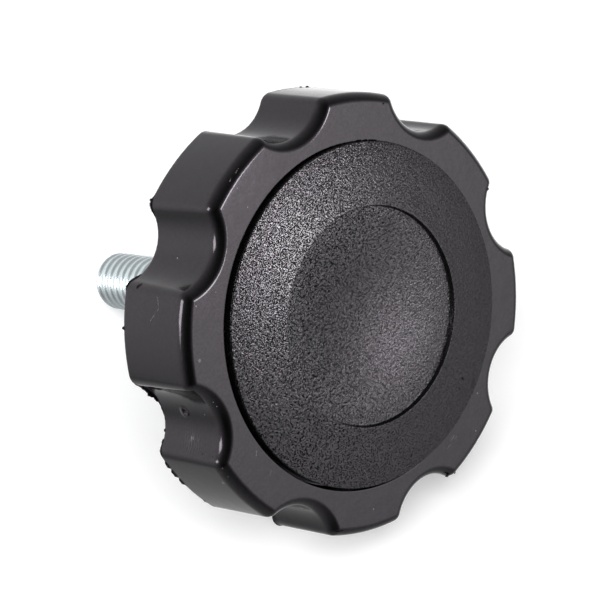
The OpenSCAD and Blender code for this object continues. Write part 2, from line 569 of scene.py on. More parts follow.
@dataclass
class Flash:
    """What the mould left on the rim: a ragged fin along the back edge, and a few burrs.

    Each row of the fin's section has a share of the fin's reach, or a depth inside the wall where it is
    negative, and a share of the fin's thickness.
    """

    knob: Knob
    thickness: float = 0.05
    above_back: float = 0.12
    least: float = 0.02
    torn: float = 0.2
    flat_top: float = 1.3
    lean: float = math.radians(45.0)
    section: tuple[Pair, ...] = ((-0.3, 0.0), (0.6, 0.0), (1.0, 0.4), (0.6, 1.0), (-0.3, 1.0))
    coarse_wave: Pair = (0.3, 0.9)
    fine_wave: Pair = (0.2, 2.3)
    sway: Pair = (2.0, 0.13)
    star_steps: tuple[int, int, int] = (40, 40, 60)
    burr_columns: int = 14
    burr_rows: int = 9
    burr_ripple: float = 0.18
    tags: tuple[Tag, ...] = (
        Tag(194.3, 1.3, 0.24),
        Tag(197.5, 1.5, 0.26),
        Tag(200.8, 1.3, 0.22),
        Tag(156.0, 0.45, 0.26),
        Tag(65.0, 0.6, 0.24),
        Tag(67.1, 0.5, 0.15),
        Tag(173.9, 2.3, 0.42),
        Tag(176.0, 2.2, 0.3),
        Tag(171.4, 1.2, 0.16, True),
        Tag(179.4, 3.2, 0.1),
        Tag(186.3, 0.4, 0.16),
        Tag(188.4, 0.4, 0.14),
        Tag(190.0, 2.0, 0.2, True),
        Tag(210.0, 0.5, 0.1),
        Tag(214.8, 0.4, 0.14),
        Tag(124.6, 2.4, 0.34, True),
        Tag(123.6, 0.3, 0.2),
        Tag(144.5, 2.4, 0.22),
        Tag(235.6, 2.2, 0.16),
    )
    burrs: tuple[Burr, ...] = (
        Burr((25.0, 4.6, 13.0), (0.24, 0.16, 0.2)),
        Burr((4.4, -25.75, 12.6), (0.38, 0.17, 0.16)),
        Burr((5.9, -26.3, 12.2), (0.2, 0.2, 0.16)),
    )

    def _reach(self, edge: np.ndarray) -> np.ndarray:
        """How far the fin stands out at each point of the back edge.

        The least reach has a ripple of two waves along the edge, the coarse one swaying; a wave is given
        by its height and its pace. Each tag adds its
        reach x (1 - s^2) with a flat top, or reach x (1 - s) where it is pointed; s is the distance
        along the edge over half the tag's length.

        Args:
            edge: points of the back edge, two numbers each.

        Returns:
            One reach for each point.
        """
        angle = np.degrees(np.arctan2(edge[:, 1], edge[:, 0]))
        step = np.arange(len(edge))
        (coarse, pace), (fine, fine_pace), (sway, sway_pace) = self.coarse_wave, self.fine_wave, self.sway
        swayed = step * pace + sway * np.sin(step * sway_pace)
        ripple = 0.5 + coarse * np.sin(swayed) + fine * np.sin(step * fine_pace)
        reach = self.least * ripple
        for tag in self.tags:
            along = np.radians(degrees_off(angle, tag.angle)) * self.knob.lobe_r
            s = np.abs(2.0 * along / tag.length)
            shape = np.clip(1.0 - s if tag.pointed else self.flat_top * (1.0 - s**2), 0.0, 1.0)
            reach = reach + tag.reach * shape * (1.0 - self.torn + self.torn * ripple)
        return reach

    def fin(self) -> Patch:
        """The fin along the back edge: a thin section that leans back, carried round the star.

        Returns:
            A closed strip: its front, its tip and its back.
        """
        k = self.knob
        edge = StarRim(k, *self.star_steps).outline(np.zeros(1))[0]
        along = np.roll(edge, -1, 0) - np.roll(edge, 1, 0)
        out = np.stack([along[:, 1], -along[:, 0]], -1) / np.linalg.norm(along, axis=1, keepdims=True)
        reach = self._reach(edge)
        rows = []
        for part, drop in self.section:
            away = np.where(part < 0, part, part * reach)[:, None]
            flat = edge + out * away * math.cos(self.lean)
            z = k.rim_back + self.above_back - away * math.sin(self.lean) - drop * self.thickness
            rows.append(np.concatenate([flat, z], 1))
        return Patch(np.stack(rows + rows[:1]), flipped=True)

    def lumps(self) -> list[Patch]:
        """The burrs, each a ball drawn to its half sizes and roughened by a ripple.

        Returns:
            One patch for each burr, closed at both poles.
        """
        turn = np.linspace(0, FULL_TURN, self.burr_columns, endpoint=False)
        tilt = np.linspace(-math.pi / 2, math.pi / 2, self.burr_rows)[:, None]
        swell = 1.0 + self.burr_ripple * np.sin(3 * turn + 2 * tilt) * np.cos(tilt)
        ball = swept(np.cos(tilt), np.sin(tilt), turn) * swell[..., None]
        grids = [ball * burr.half + np.array(burr.place) for burr in self.burrs]
        return [Patch(grid, first_pole=True, last_pole=True) for grid in grids]


@dataclass
class Moulding:
    """The black moulding: its rim, its hollow back and what the mould left on it."""

    knob: Knob
    name: str = "rim_skin"
    node: str = "knob_body"
    slot: Slot = Slot.BODY

    def build(self) -> Object:
        """Builds the mesh from the rim, the back, the fin and the burrs.

        Returns:
            The moulding's object.
        """
        flash = Flash(self.knob)
        rim, back = StarRim(self.knob).shell(), HollowBack(self.knob).cells()
        return make_object(self.name, [rim, *back, flash.fin(), *flash.lumps()], self.knob)

    def dress(self, piece: Object) -> None:
        """Gives the mesh its smooth black plastic."""
        piece.data.materials.append(MouldedPlastic(self.knob).material())


@dataclass
class CoverCap:
    """The cap: a skirt in the recess, a shallow cone up to a crest, a step and a dish."""

    knob: Knob
    name: str = "cap_skin"
    node: str = "cover_cap"
    slot: Slot = Slot.CAP
    shift: Place = (0.12, 0.08, 0.0)
    cap_r: float = 21.06
    skirt_t: float = 1.6
    top_t: float = 1.6
    edge_z: float = 13.9
    crest_r: float = 13.45
    crest_z: float = 14.8
    step_run: float = 0.15
    dish_z: float = 14.2
    dish_sag: float = 1.0
    dish_slope: float = 0.08
    dish_bias: float = 0.95
    dish_level_r: float = 14.6
    below_face: float = 0.4
    below_round: float = 0.2
    edge_round: float = 0.16
    edge_steps: int = 5
    step_round: float = 0.07
    cone_rows: int = 14
    dish_rows: int = 34
    columns: int = 384

    def dish(self) -> np.ndarray:
        """The dish's section.

        Its slope at radius r is dish_slope x sin(pi (r / dish_level_r)^dish_bias), so the dish is nearly
        level at its edge and level at its middle; its depth is the slope summed along r.

        Returns:
            Radius and height of each row, from the edge to the middle.
        """
        r = np.linspace(self.crest_r - self.step_run, 0.0, self.dish_rows)
        slope = self.dish_slope * np.sin(math.pi * (r / self.dish_level_r) ** self.dish_bias)
        fall = 0.5 * (slope[1:] + slope[:-1]) * (r[:-1] - r[1:])
        return np.stack([r, self.dish_z - np.concatenate([[0.0], np.cumsum(fall)])], -1)

    def skin(self) -> Patch:
        """The cap's closed skin, turned from a path.

        The path runs from the middle of the underside, over the skirt, the cone and the crest, to the
        dish's middle.

        Returns:
            The skin, closed at both poles.
        """
        k = self.knob
        dish = self.dish()
        skirt_r = self.cap_r - self.skirt_t
        parting = [self.cap_r, k.face_z - self.below_face]
        half_way = [(self.cap_r + self.crest_r) / 2, (self.edge_z + self.crest_z) / 2]
        crest = [self.crest_r, self.crest_z]
        under = [
            [0.0, self.dish_z - self.dish_sag - self.top_t],
            [self.crest_r - self.step_run, self.dish_z - self.top_t],
            [skirt_r, self.edge_z - self.top_t],
            [skirt_r, k.ledge_z],
            [self.cap_r, k.ledge_z],
            parting,
        ]
        below = rounded_path(under, self.below_round)
        top = rounded_path([parting, [self.cap_r, self.edge_z], half_way], self.edge_round, self.edge_steps)
        t = np.linspace(0, 1, self.cone_rows)[1:-1, None]
        cone = (1 - t) * top[-1] + t * np.array(crest)
        step = rounded_path([cone[-1], crest, dish[0], dish[1]], self.step_round)
        path = np.concatenate([below, top[1:], cone[:-1], step, dish[2:]])
        angle = np.linspace(0, FULL_TURN, self.columns, endpoint=False)
        return Patch(revolved(path, angle) + np.array(self.shift), first_pole=True, last_pole=True)

    def build(self) -> Object:
        """Builds the cap's object."""
        return make_object(self.name, [self.skin()], self.knob)

    def dress(self, piece: Object) -> None:
        """Gives the mesh its grained black plastic."""
        piece.data.materials.append(GrainedPlastic(self.knob).material())


@dataclass
class ThreadedStud:
    """The stud: a rolled coarse thread with a chamfered end, and the head in the hub."""

    knob: Knob
    name: str = "stud_thread"
    node: str = "stud"
    slot: Slot = Slot.STUD
    pitch: float = 1.411
    depth: float = 0.3
    thread_top: float = -0.3
    run_out_turns: float = 1.2
    run_out_share: float = 0.6
    columns: int = 64
    rows_per_turn: int = 18
    end_rows: int = 6
    neck_r: float = 3.55
    neck_gap: float = 0.2
    hub_floor: float = 4.4
    head_af: float = 12.7
    head_columns: int = 96
    under_round: Pair = (0.97, 0.2)
    top_chamfer: Pair = (0.94, 0.3)

    def thread(self) -> Patch:
        """The threaded wall, its end and its neck.

        The radius is stud_r less depth x (1 + cos(2 pi u)) / 2, where u is the distance from the groove
        in turns, taken from z / pitch - a / 2 pi. The end's chamfer cuts it, and over the last turns
        before the hub it runs out towards the neck.

        Returns:
            The wall, closed by a disc at the stud's end.
        """
        k = self.knob
        top, run_out = self.thread_top, self.run_out_turns * self.pitch
        rows = int((top - k.stud_end) / self.pitch * self.rows_per_turn)
        z = np.linspace(k.stud_end, top, rows)[:, None]
        angle = np.linspace(0, FULL_TURN, self.columns, endpoint=False)
        off = np.abs((z / self.pitch - angle / FULL_TURN) % 1.0 - 0.5)
        groove = 0.5 + 0.5 * np.cos(FULL_TURN * off)
        r = k.stud_r - self.depth * groove
        r = np.minimum(r, k.stud_r - k.stud_chamfer + (z - k.stud_end))
        run = np.clip((z - (top - run_out)) / run_out, 0, 1)
        r = r + (self.neck_r - r) * run**2 * (3 - 2 * run) * self.run_out_share
        wall = swept(r, z, angle)
        end = swept(np.linspace(0, 1, self.end_rows)[:, None] * r[:1], np.array([[k.stud_end]]), angle)
        neck = revolved(np.array([[self.neck_r, top + self.neck_gap], [self.neck_r, self.hub_floor]]), angle)
        return Patch(np.concatenate([end[:-1], wall, neck]), first_pole=True)

    def head(self) -> Patch:
        """The hexagonal head: a hexagon of radius (head_af / 2) / cos(a) carried up its height.

        Each row has a share of that radius and a height; a is the angle from the middle of a flat.

        Returns:
            The head, closed at both ends.
        """
        angle = np.linspace(0, FULL_TURN, self.head_columns, endpoint=False)
        half_flat = math.pi / 6
        within = (angle + half_flat) % (2 * half_flat) - half_flat
        flat = self.head_af / 2 / np.cos(within)
        low, high = self.hub_floor, self.knob.head_top
        under_share, under_rise = self.under_round
        top_share, top_drop = self.top_chamfer
        rows = np.array(
            [
                [0.0, low],
                [under_share, low],
                [1.0, low + under_rise],
                [1.0, high - top_drop],
                [top_share, high],
                [0.0, high],
            ]
        )
        return Patch(swept(rows[:, :1] * flat, rows[:, 1:], angle), first_pole=True, last_pole=True)

    def build(self) -> Object:
        """Builds the stud's object from its thread and its head."""
        return make_object(self.name, [self.thread(), self.head()], self.knob)

    def dress(self, piece: Object) -> None:
        """Gives the mesh its zinc plating."""
        piece.data.materials.append(ZincPlate().material())


class Nodes:
    """A small hand for node trees."""

    def __init__(self, tree: NodeTree) -> None:
        """Takes the tree to work on."""
        self.tree = tree

    def add(self, kind: str, settings: dict | None = None, *values: object, **named: object) -> Node:
        """Adds a node.

        Args:
            kind: the node's type name.
            settings: attributes to set on it.
            values: values or output sockets for its first inputs.
            named: values or output sockets, by input name with underscores for spaces.

        Returns:
            The node.
        """
        node = self.tree.nodes.new(kind)
        for name, value in (settings or {}).items():
            setattr(node, name, value)
        for place, value in enumerate(values):
            self.feed(node, place, value)
        for name, value in named.items():
            self.feed(node, name.replace("_", " "), value)
        return node

    def feed(self, node: Node, name: str | int, value: object) -> None:
        """Sets an input's value, or links an output to it.

        Args:
            node: the node.
            name: the input's name or number.
            value: a plain value, or an output socket.
        """
        socket = node.inputs[name]
        if isinstance(value, Socket):
            self.tree.links.new(value, socket)
        else:
            socket.default_value = value

    def math(self, operation: str, a: object, b: object = 0.0, clamp: bool = False) -> Socket:
        """Adds a Math node and gives its output."""
        return self.add("ShaderNodeMath", {"operation": operation, "use_clamp": clamp}, a, b).outputs[0]

    def vector(self, operation: str, a: object, b: object) -> Socket:
        """Adds a Vector Math node and gives its output, a number where the operation gives one."""
        output = "Value" if operation in ("DOT_PRODUCT", "DISTANCE") else "Vector"
        return self.add("ShaderNodeVectorMath", {"operation": operation}, a, b).outputs[output]

    def scaled(self, vector: Socket, factor: object) -> Socket:
        """Adds a Vector Math node that scales a vector."""
        node = self.add("ShaderNodeVectorMath", {"operation": "SCALE"}, vector, Scale=factor)
        return node.outputs["Vector"]

    def noise(self, vector: Socket, scale: float, detail: float = 2.0, rough: float = 0.5) -> Socket:
        """Adds a Noise Texture and gives its value."""
        values = {"Vector": vector, "Scale": scale, "Detail": detail, "Roughness": rough}
        return self.add("ShaderNodeTexNoise", None, **values).outputs["Fac"]

    def spread(self, value: Socket, low: float, high: float, to_low: float, to_high: float) -> Socket:
        """Maps a value from one range to another, held at the ends."""
        return self.add("ShaderNodeMapRange", {"clamp": True}, value, low, high, to_low, to_high).outputs[0]

    def bump(self, height: Socket, strength: float, height_mm: float) -> Node:
        """Adds a Bump node whose full height is given in millimetres."""
        return self.add("ShaderNodeBump", None, Height=height, Strength=strength, Distance=height_mm * MM)

    def grey(self, tone: Socket) -> Socket:
        """Makes a grey from one tone."""
        return self.add("ShaderNodeCombineColor", None, tone, tone, tone).outputs[0]

    def blend(self, share: Socket, first: Colour, second: Colour) -> Socket:
        """Adds a Mix node between two colours.

        Args:
            share: 0 for the first colour, 1 for the second.
            first: the colour under the mask.
            second: the colour where the mask is 1.

        Returns:
            The blended colour.
        """
        node = self.add("ShaderNodeMix", {"data_type": "RGBA"}, Factor=share)
        self.feed(node, MIX_FIRST, (*first, 1.0))
        self.feed(node, MIX_SECOND, (*second, 1.0))
        return node.outputs[MIX_RESULT]


def new_material(name: str) -> tuple[Material, Nodes, Node, Socket]:
    """Starts a material.

    Args:
        name: the material's name.

    Returns:
        The material, its nodes, its shader and the object's coordinates.
    """
    material = bpy.data.materials.new(name)
    material.use_nodes = True
    nodes = Nodes(material.node_tree)
    shader = material.node_tree.nodes["Principled BSDF"]
    where = nodes.add("ShaderNodeTexCoord").outputs["Object"]
    return material, nodes, shader, where


@dataclass(frozen=True)
class HandlingMarks:
    """Dust specks and faint smudges, in one node group."""

    name: str = "handling_marks"
    dust_scale: float = 420.0
    dust_pick_scale: float = 900.0
    dust_pick: Pair = (0.45, 0.8)
    dust_size: float = 0.11
    smudge_scale: float = 160.0
    smudge_detail: float = 4.0
    smudge_rough: float = 0.6
    smudge_range: Pair = (0.35, 0.7)

    def group(self) -> NodeTree:
        """Makes the group once: dust is where a cell's distance is below a size that noise picks.

        Returns:
            The group, with the outputs Dust and Smudge.
        """
        group = bpy.data.node_groups.get(self.name)
        if group:
            return group
        group = bpy.data.node_groups.new(self.name, "ShaderNodeTree")
        group.interface.new_socket("Vector", in_out="INPUT", socket_type="NodeSocketVector")
        for name in ("Dust", "Smudge"):
            group.interface.new_socket(name, in_out="OUTPUT", socket_type="NodeSocketFloat")
        n = Nodes(group)
        where = group.nodes.new("NodeGroupInput").outputs[0]
        cells = n.add("ShaderNodeTexVoronoi", {"feature": "F1"}, Vector=where, Scale=self.dust_scale)
        pick = n.noise(where, self.dust_pick_scale, 0.0)
        size = n.spread(pick, *self.dust_pick, 0.0, self.dust_size)
        dust = n.math("LESS_THAN", cells.outputs["Distance"], size)
        cloud = n.noise(where, self.smudge_scale, self.smudge_detail, self.smudge_rough)
        out = group.nodes.new("NodeGroupOutput")
        group.links.new(dust, out.inputs["Dust"])
        group.links.new(n.spread(cloud, *self.smudge_range, 0.0, 1.0), out.inputs["Smudge"])
        return group


@dataclass(frozen=True)
class StrokeMask:
    """One placed mark as a node group: 1 near the line between two points, 0 away from it."""

    name: str = "stroke"
    solid: float = 0.6
    gone: float = 1.2

    def group(self) -> NodeTree:
        """Makes the group once; the mask falls from solid to gone, in parts of the stroke's width.

        Returns:
            The group, with the inputs Vector, Start, End and Width and the output Mask.
        """
        group = bpy.data.node_groups.get(self.name)
        if group:
            return group
        group = bpy.data.node_groups.new(self.name, "ShaderNodeTree")
        for name in ("Vector", "Start", "End"):
            group.interface.new_socket(name, in_out="INPUT", socket_type="NodeSocketVector")
        group.interface.new_socket("Width", in_out="INPUT", socket_type="NodeSocketFloat")
        group.interface.new_socket("Mask", in_out="OUTPUT", socket_type="NodeSocketFloat")
        n = Nodes(group)
        given = group.nodes.new("NodeGroupInput").outputs
        there = n.vector("SUBTRACT", given["Vector"], given["Start"])
        line = n.vector("SUBTRACT", given["End"], given["Start"])
        along, whole = n.vector("DOT_PRODUCT", there, line), n.vector("DOT_PRODUCT", line, line)
        nearest = n.scaled(line, n.math("DIVIDE", along, whole, True))
        away = n.math("DIVIDE", n.vector("DISTANCE", there, nearest), given["Width"])
        out = group.nodes.new("NodeGroupOutput")
        group.links.new(n.spread(away, self.solid, self.gone, 1.0, 0.0), out.inputs["Mask"])
        return group


@dataclass(frozen=True)
class Stroke:
    """A placed mark: a line between two points on the knob's axes, its half width and its strength."""

    start: Place
    end: Place
    half: float
    weight: float = 1.0

    def mask(self, n: Nodes, where: Socket, knob: Knob) -> Socket:
        """Adds the mark's group to a material.

        Args:
            n: the material's nodes.
            where: the coordinates to use.
            knob: gives the place in the row's frame.

        Returns:
            The mark's mask, times its strength.
        """
        start, end = knob.place(np.array([self.start, self.end])).tolist()
        group = {"node_tree": StrokeMask().group()}
        node = n.add("ShaderNodeGroup", group, Vector=where, Start=start, End=end, Width=self.half * MM)
        return n.math("MULTIPLY", node.outputs["Mask"], self.weight)


def spot(x: float, y: float, z: float, half: float, weight: float = 1.0) -> Stroke:
    """A mark that is one small spot."""
    return Stroke((x, y, z), (x, y, z), half, weight)


@dataclass(frozen=True)
class RaggedMarks:
    """Several placed marks whose edges are made ragged by noise."""

    marks: tuple[Stroke, ...]
    scale: float = 7000.0
    sway_mm: float = 0.25

    def mask(self, n: Nodes, where: Socket, knob: Knob) -> Socket:
        """Gives the largest of the marks' masks.

        Args:
            n: the material's nodes.
            where: the object's coordinates.
            knob: gives the places in the row's frame.

        Returns:
            One mask.
        """
        noise = n.add("ShaderNodeTexNoise", None, Vector=where, Scale=self.scale, Detail=1.0)
        centred = n.vector("SUBTRACT", noise.outputs["Color"], (0.5, 0.5, 0.5))
        place = n.vector("ADD", where, n.scaled(centred, self.sway_mm * MM))
        masks = [mark.mask(n, place, knob) for mark in self.marks]
        total = masks[0]
        for mask in masks[1:]:
            total = n.math("MAXIMUM", total, mask)
        return total


@dataclass(frozen=True)
class MouldedPlastic:
    """Smooth black moulded plastic, with nicks, painted shade along the back edge, scratches, a sink mark
    and a cutter's lines.
    """

    knob: Knob
    name: str = "moulded_black"
    colour: Colour = (0.0012, 0.0012, 0.0013)
    worn: Colour = (0.3, 0.29, 0.28)
    sheen: Colour = (0.985, 0.897, 0.995)
    gloss: float = 0.58
    uneven: float = 0.16
    roughness: Pair = (0.12, 0.2)
    dust: float = 0.25
    fine_scale: float = 4000.0
    skin_scale: float = 500.0
    skin_fine: float = 0.15
    skin_strength: float = 0.1
    skin_mm: float = 0.2
    dent_mm: float = 0.13
    sink: Place = (-24.2, -0.1, 6.4)
    sink_bell: float = 2.2
    sink_rings: float = 5.0
    cut: Place = (-25.3, -3.3, 7.2)
    cut_bell: float = 0.25
    cut_pitch_mm: float = 0.42
    cut_height: float = 0.13
    cut_sway: float = 9.0
    cut_sway_scale: float = 900.0
    # Dark nicks, painted black; some stand in for shade, marked below.
    nicks_and_shade: tuple[Stroke, ...] = (
        Stroke((-24.2, 0.2, 6.2), (-24.2, -0.35, 6.9), 0.24),
        Stroke((-24.3, 0.7, 5.2), (-24.2, 0.5, 6.0), 0.09, 0.7),
        # Painted shade: black strokes along the back edge, where the fin is in shade.
        Stroke((-25.7, 3.5, 1.9), (-24.8, 1.7, 1.95), 0.48, 0.95),
        Stroke((-24.8, 1.7, 1.95), (-24.45, -0.8, 1.95), 0.26, 0.9),
        Stroke((-26.85, -6.4, 1.8), (-25.5, -10.3, 1.8), 0.24, 0.95),
        Stroke((-22.05, 15.55, 4.15), (-22.4, 15.4, 3.9), 0.27),
        # Painted shade along the back edge.
        Stroke((-15.7, -21.3, 2.35), (-15.5, -22.4, 2.7), 0.4, 0.6),
        spot(13.2, 22.1, 13.2, 0.14),
        # Dark notches at the recess's rim beside the gap: partly painted shade.
        Stroke((7.35, 19.95, 13.2), (8.15, 19.65, 13.2), 0.1),
        Stroke((8.45, 19.45, 13.2), (9.0, 19.25, 13.2), 0.14),
        Stroke((9.35, 19.05, 13.2), (10.3, 18.55, 13.2), 0.16),
        Stroke((-14.6, -21.9, 12.9), (-13.8, -22.2, 13.1), 0.1),
        spot(-13.2, -23.1, 12.7, 0.14),
        spot(-25.9, -4.3, 9.6, 0.1),
        spot(-25.9, -4.4, 11.4, 0.1),
    )
    scratches: tuple[Stroke, ...] = (
        Stroke((-22.9, 14.7, 8.0), (-23.5, 13.6, 8.4), 0.04, 0.3),
        Stroke((-23.5, 13.6, 8.4), (-24.3, 12.3, 7.0), 0.045, 0.35),
        Stroke((-11.4, 23.9, 12.9), (-10.9, 24.2, 12.9), 0.06, 0.4),
        Stroke((-10.2, 24.4, 12.9), (-9.6, 24.7, 12.9), 0.05, 0.4),
        Stroke((-21.2, -6.2, 13.2), (-21.5, -6.7, 13.2), 0.05, 0.3),
        Stroke((-20.3, -9.4, 13.2), (-20.6, -9.9, 13.2), 0.05, 0.2),
        Stroke((6.2, -21.6, 13.2), (7.0, -21.3, 13.2), 0.12, 0.1),
        Stroke((6.9, -21.7, 13.2), (7.4, -21.6, 13.2), 0.08, 0.1),
        Stroke((5.4, -22.2, 13.2), (6.0, -22.0, 13.2), 0.1, 0.08),
        spot(-10.9, 22.8, 13.2, 0.1, 0.5),
        spot(-10.5, 20.2, 13.2, 0.07, 0.5),
        spot(-17.6, 16.8, 6.4, 0.1),
        spot(-23.9, 2.0, 12.7, 0.08, 0.4),
        spot(-23.7, 1.3, 12.7, 0.07, 0.4),
        spot(-25.9, -4.2, 10.1, 0.07, 0.4),
        spot(-26.0, -5.7, 12.7, 0.08, 0.3),
        spot(-25.7, -7.0, 12.7, 0.06, 0.3),
        spot(-21.7, 13.4, 13.2, 0.1, 0.4),
    )

    def bell(self, n: Nodes, where: Socket, middle: Place, steepness: float) -> tuple[Socket, Socket]:
        """A bell round a middle: exp(-steepness d^2), with d in millimetres.

        Args:
            n: the material's nodes.
            where: the object's coordinates.
            middle: the middle, on the knob's axes.
            steepness: how fast the bell falls.

        Returns:
            The distance d and the bell.
        """
        at = self.knob.place(np.array(middle)).tolist()
        d = n.math("MULTIPLY", n.vector("DISTANCE", where, at), 1.0 / MM)
        return d, n.math("EXPONENT", n.math("MULTIPLY", n.math("MULTIPLY", d, d), -steepness))

    def dents(self, n: Nodes, where: Socket) -> Socket:
        """Height of the sink mark and of the cutter's lines in the scallop beside it.

        The sink mark is cos(sink_rings x d) under a bell of d, the distance from its middle. The lines
        are a wave along the knob's axis, swayed by noise, under a broader bell.

        Args:
            n: the material's nodes.
            where: the object's coordinates.

        Returns:
            The height, in parts of the bump's distance.
        """
        d, bell = self.bell(n, where, self.sink, self.sink_bell)
        sink = n.math("MULTIPLY", bell, n.math("COSINE", n.math("MULTIPLY", d, self.sink_rings)))
        _, bell = self.bell(n, where, self.cut, self.cut_bell)
        axis = (self.knob.place(np.array([0.0, 0.0, 1.0])) / MM).tolist()
        z = n.math("MULTIPLY", n.vector("DOT_PRODUCT", where, axis), FULL_TURN / self.cut_pitch_mm / MM)
        sway = n.math("MULTIPLY", n.noise(where, self.cut_sway_scale), self.cut_sway)
        lines = n.math("MULTIPLY", bell, n.math("SINE", n.math("ADD", z, sway)))
        return n.math("SUBTRACT", n.math("MULTIPLY", lines, self.cut_height), sink)

    def material(self) -> Material:
        """Builds the material: near-black, an uneven sheen, a moulded skin, dust, nicks and scratches.

        Nicks and the uneven sheen are metallic masks: over a near-black base they darken the sheen. The
        nicks' mask also paints shade black along the back edge and at the recess's rim.

        Returns:
            The material.
        """
        material, n, shader, where = new_material(self.name)
        marks = n.add("ShaderNodeGroup", {"node_tree": HandlingMarks().group()}, Vector=where)
        nick_and_shade = RaggedMarks(self.nicks_and_shade).mask(n, where, self.knob)
        scratch = RaggedMarks(self.scratches).mask(n, where, self.knob)
        light = n.math("MAXIMUM", n.math("MULTIPLY", marks.outputs["Dust"], self.dust), scratch)
        bare = n.math("MULTIPLY", light, n.math("SUBTRACT", 1.0, nick_and_shade))
        n.feed(shader, "Base Color", n.blend(bare, self.colour, self.worn))
        fine = n.noise(where, self.fine_scale, 1.0)
        n.feed(shader, "Metallic", n.math("MAXIMUM", nick_and_shade, n.spread(fine, *NOISE_RANGE, self.uneven, 0.0)))
        n.feed(shader, "Roughness", n.spread(marks.outputs["Smudge"], 0.0, 1.0, *self.roughness))
        shader.inputs["Specular IOR Level"].default_value = self.gloss
        shader.inputs["Specular Tint"].default_value = (*self.sheen, 1.0)
        skin = n.math("ADD", n.noise(where, self.skin_scale), n.math("MULTIPLY", fine, self.skin_fine))
        bump = n.bump(skin, self.skin_strength, self.skin_mm)
        dents = n.bump(self.dents(n, where), 1.0, self.dent_mm)
        n.feed(dents, "Normal", bump.outputs[0])
        n.feed(shader, "Normal", dents.outputs[0])
        return material


